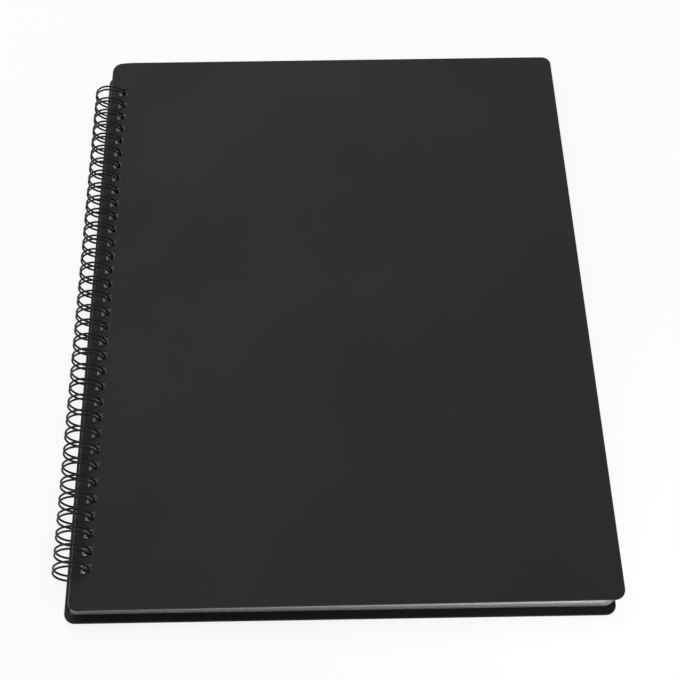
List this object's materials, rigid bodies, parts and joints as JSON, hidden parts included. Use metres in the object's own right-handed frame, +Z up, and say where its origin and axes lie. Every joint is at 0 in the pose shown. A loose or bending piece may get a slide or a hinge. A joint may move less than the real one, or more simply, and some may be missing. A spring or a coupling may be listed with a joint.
{
  "type": "music folder",
  "caption": "Closed wire-bound music folder with flexible black covers, clear pocket sleeves and paper inserts that turn about a twin-loop binding",
  "frame": {"origin": "on the table under the middle of the folder", "axes": "+X from the spine to the fore edge, +Y along the spine to the top of the page, +Z up"},
  "size_m": [0.2487, 0.3232, 0.0165],
  "materials": {
    "cover": "fine matt grain",
    "wire": "satin coating",
    "film": "clear film",
    "paper": "uncoated off-white paper"
  },
  "bodies": {
    "base": {"back_cover": "cover", "binding_wire": "wire"},
    "leaf_01": {"sleeve_01": "film"},
    "paper_01": {"insert_01": "paper"},
    "leaf_02": {"sleeve_02": "film"},
    "paper_02": {"insert_02": "paper"},
    "leaf_03": {"sleeve_03": "film"},
    "paper_03": {"insert_03": "paper"},
    "leaf_04": {"sleeve_04": "film"},
    "paper_04": {"insert_04": "paper"},
    "leaf_05": {"sleeve_05": "film"},
    "paper_05": {"insert_05": "paper"},
    "leaf_06": {"sleeve_06": "film"},
    "paper_06": {"insert_06": "paper"},
    "leaf_07": {"sleeve_07": "film"},
    "paper_07": {"insert_07": "paper"},
    "leaf_08": {"sleeve_08": "film"},
    "paper_08": {"insert_08": "paper"},
    "leaf_09": {"sleeve_09": "film"},
    "paper_09": {"insert_09": "paper"},
    "leaf_10": {"sleeve_10": "film"},
    "paper_10": {"insert_10": "paper"},
    "leaf_11": {"sleeve_11": "film"},
    "paper_11": {"insert_11": "paper"},
    "leaf_12": {"sleeve_12": "film"},
    "paper_12": {"insert_12": "paper"},
    "leaf_13": {"sleeve_13": "film"},
    "paper_13": {"insert_13": "paper"},
    "leaf_14": {"sleeve_14": "film"},
    "paper_14": {"insert_14": "paper"},
    "leaf_15": {"sleeve_15": "film"},
    "paper_15": {"insert_15": "paper"},
    "leaf_16": {"sleeve_16": "film"},
    "paper_16": {"insert_16": "paper"},
    "leaf_17": {"sleeve_17": "film"},
    "paper_17": {"insert_17": "paper"},
    "leaf_18": {"sleeve_18": "film"},
    "paper_18": {"insert_18": "paper"},
    "leaf_19": {"sleeve_19": "film"},
    "paper_19": {"insert_19": "paper"},
    "leaf_20": {"sleeve_20": "film"},
    "paper_20": {"insert_20": "paper"},
    "front": {"front_cover": "cover"}
  },
  "joints": [
    {"name": "turn_sleeve_01", "type": "hinge", "parent": "base", "child": "leaf_01", "pos_m": [-0.11618, 0, 0.00826], "axis": [0, -1, 0], "range_deg": [0, 180]},
    {"name": "turn_sleeve_02", "type": "hinge", "parent": "leaf_01", "child": "leaf_02", "pos_m": [-0.11618, 0, 0.00826], "axis": [0, -1, 0], "range_deg": [0, 180]},
    {"name": "turn_sleeve_03", "type": "hinge", "parent": "leaf_02", "child": "leaf_03", "pos_m": [-0.11618, 0, 0.00826], "axis": [0, -1, 0], "range_deg": [0, 180]},
    {"name": "turn_sleeve_04", "type": "hinge", "parent": "leaf_03", "child": "leaf_04", "pos_m": [-0.11618, 0, 0.00826], "axis": [0, -1, 0], "range_deg": [0, 180]},
    {"name": "turn_sleeve_05", "type": "hinge", "parent": "leaf_04", "child": "leaf_05", "pos_m": [-0.11618, 0, 0.00826], "axis": [0, -1, 0], "range_deg": [0, 180]},
    {"name": "turn_sleeve_06", "type": "hinge", "parent": "leaf_05", "child": "leaf_06", "pos_m": [-0.11618, 0, 0.00826], "axis": [0, -1, 0], "range_deg": [0, 180]},
    {"name": "turn_sleeve_07", "type": "hinge", "parent": "leaf_06", "child": "leaf_07", "pos_m": [-0.11618, 0, 0.00826], "axis": [0, -1, 0], "range_deg": [0, 180]},
    {"name": "turn_sleeve_08", "type": "hinge", "parent": "leaf_07", "child": "leaf_08", "pos_m": [-0.11618, 0, 0.00826], "axis": [0, -1, 0], "range_deg": [0, 180]},
    {"name": "turn_sleeve_09", "type": "hinge", "parent": "leaf_08", "child": "leaf_09", "pos_m": [-0.11618, 0, 0.00826], "axis": [0, -1, 0], "range_deg": [0, 180]},
    {"name": "turn_sleeve_10", "type": "hinge", "parent": "leaf_09", "child": "leaf_10", "pos_m": [-0.11618, 0, 0.00826], "axis": [0, -1, 0], "range_deg": [0, 180]},
    {"name": "turn_sleeve_11", "type": "hinge", "parent": "leaf_10", "child": "leaf_11", "pos_m": [-0.11618, 0, 0.00826], "axis": [0, -1, 0], "range_deg": [0, 180]},
    {"name": "turn_sleeve_12", "type": "hinge", "parent": "leaf_11", "child": "leaf_12", "pos_m": [-0.11618, 0, 0.00826], "axis": [0, -1, 0], "range_deg": [0, 180]},
    {"name": "turn_sleeve_13", "type": "hinge", "parent": "leaf_12", "child": "leaf_13", "pos_m": [-0.11618, 0, 0.00826], "axis": [0, -1, 0], "range_deg": [0, 180]},
    {"name": "turn_sleeve_14", "type": "hinge", "parent": "leaf_13", "child": "leaf_14", "pos_m": [-0.11618, 0, 0.00826], "axis": [0, -1, 0], "range_deg": [0, 180]},
    {"name": "turn_sleeve_15", "type": "hinge", "parent": "leaf_14", "child": "leaf_15", "pos_m": [-0.11618, 0, 0.00826], "axis": [0, -1, 0], "range_deg": [0, 180]},
    {"name": "turn_sleeve_16", "type": "hinge", "parent": "leaf_15", "child": "leaf_16", "pos_m": [-0.11618, 0, 0.00826], "axis": [0, -1, 0], "range_deg": [0, 180]},
    {"name": "turn_sleeve_17", "type": "hinge", "parent": "leaf_16", "child": "leaf_17", "pos_m": [-0.11618, 0, 0.00826], "axis": [0, -1, 0], "range_deg": [0, 180]},
    {"name": "turn_sleeve_18", "type": "hinge", "parent": "leaf_17", "child": "leaf_18", "pos_m": [-0.11618, 0, 0.00826], "axis": [0, -1, 0], "range_deg": [0, 180]},
    {"name": "turn_sleeve_19", "type": "hinge", "parent": "leaf_18", "child": "leaf_19", "pos_m": [-0.11618, 0, 0.00826], "axis": [0, -1, 0], "range_deg": [0, 180]},
    {"name": "turn_sleeve_20", "type": "hinge", "parent": "leaf_19", "child": "leaf_20", "pos_m": [-0.11618, 0, 0.00826], "axis": [0, -1, 0], "range_deg": [0, 180]},
    {"name": "turn_front_cover", "type": "hinge", "parent": "leaf_20", "child": "front", "pos_m": [-0.11618, 0, 0.00826], "axis": [0, -1, 0], "range_deg": [0, 180]},
    {"name": "pull_insert_01", "type": "slide", "parent": "leaf_01", "child": "paper_01", "axis": [0, 1, 0], "range_m": [0, 0.3]},
    {"name": "pull_insert_02", "type": "slide", "parent": "leaf_02", "child": "paper_02", "axis": [0, 1, 0], "range_m": [0, 0.3]},
    {"name": "pull_insert_03", "type": "slide", "parent": "leaf_03", "child": "paper_03", "axis": [0, 1, 0], "range_m": [0, 0.3]},
    {"name": "pull_insert_04", "type": "slide", "parent": "leaf_04", "child": "paper_04", "axis": [0, 1, 0], "range_m": [0, 0.3]},
    {"name": "pull_insert_05", "type": "slide", "parent": "leaf_05", "child": "paper_05", "axis": [0, 1, 0], "range_m": [0, 0.3]},
    {"name": "pull_insert_06", "type": "slide", "parent": "leaf_06", "child": "paper_06", "axis": [0, 1, 0], "range_m": [0, 0.3]},
    {"name": "pull_insert_07", "type": "slide", "parent": "leaf_07", "child": "paper_07", "axis": [0, 1, 0], "range_m": [0, 0.3]},
    {"name": "pull_insert_08", "type": "slide", "parent": "leaf_08", "child": "paper_08", "axis": [0, 1, 0], "range_m": [0, 0.3]},
    {"name": "pull_insert_09", "type": "slide", "parent": "leaf_09", "child": "paper_09", "axis": [0, 1, 0], "range_m": [0, 0.3]},
    {"name": "pull_insert_10", "type": "slide", "parent": "leaf_10", "child": "paper_10", "axis": [0, 1, 0], "range_m": [0, 0.3]},
    {"name": "pull_insert_11", "type": "slide", "parent": "leaf_11", "child": "paper_11", "axis": [0, 1, 0], "range_m": [0, 0.3]},
    {"name": "pull_insert_12", "type": "slide", "parent": "leaf_12", "child": "paper_12", "axis": [0, 1, 0], "range_m": [0, 0.3]},
    {"name": "pull_insert_13", "type": "slide", "parent": "leaf_13", "child": "paper_13", "axis": [0, 1, 0], "range_m": [0, 0.3]},
    {"name": "pull_insert_14", "type": "slide", "parent": "leaf_14", "child": "paper_14", "axis": [0, 1, 0], "range_m": [0, 0.3]},
    {"name": "pull_insert_15", "type": "slide", "parent": "leaf_15", "child": "paper_15", "axis": [0, 1, 0], "range_m": [0, 0.3]},
    {"name": "pull_insert_16", "type": "slide", "parent": "leaf_16", "child": "paper_16", "axis": [0, 1, 0], "range_m": [0, 0.3]},
    {"name": "pull_insert_17", "type": "slide", "parent": "leaf_17", "child": "paper_17", "axis": [0, 1, 0], "range_m": [0, 0.3]},
    {"name": "pull_insert_18", "type": "slide", "parent": "leaf_18", "child": "paper_18", "axis": [0, 1, 0], "range_m": [0, 0.3]},
    {"name": "pull_insert_19", "type": "slide", "parent": "leaf_19", "child": "paper_19", "axis": [0, 1, 0], "range_m": [0, 0.3]},
    {"name": "pull_insert_20", "type": "slide", "parent": "leaf_20", "child": "paper_20", "axis": [0, 1, 0], "range_m": [0, 0.3]}
  ]
}
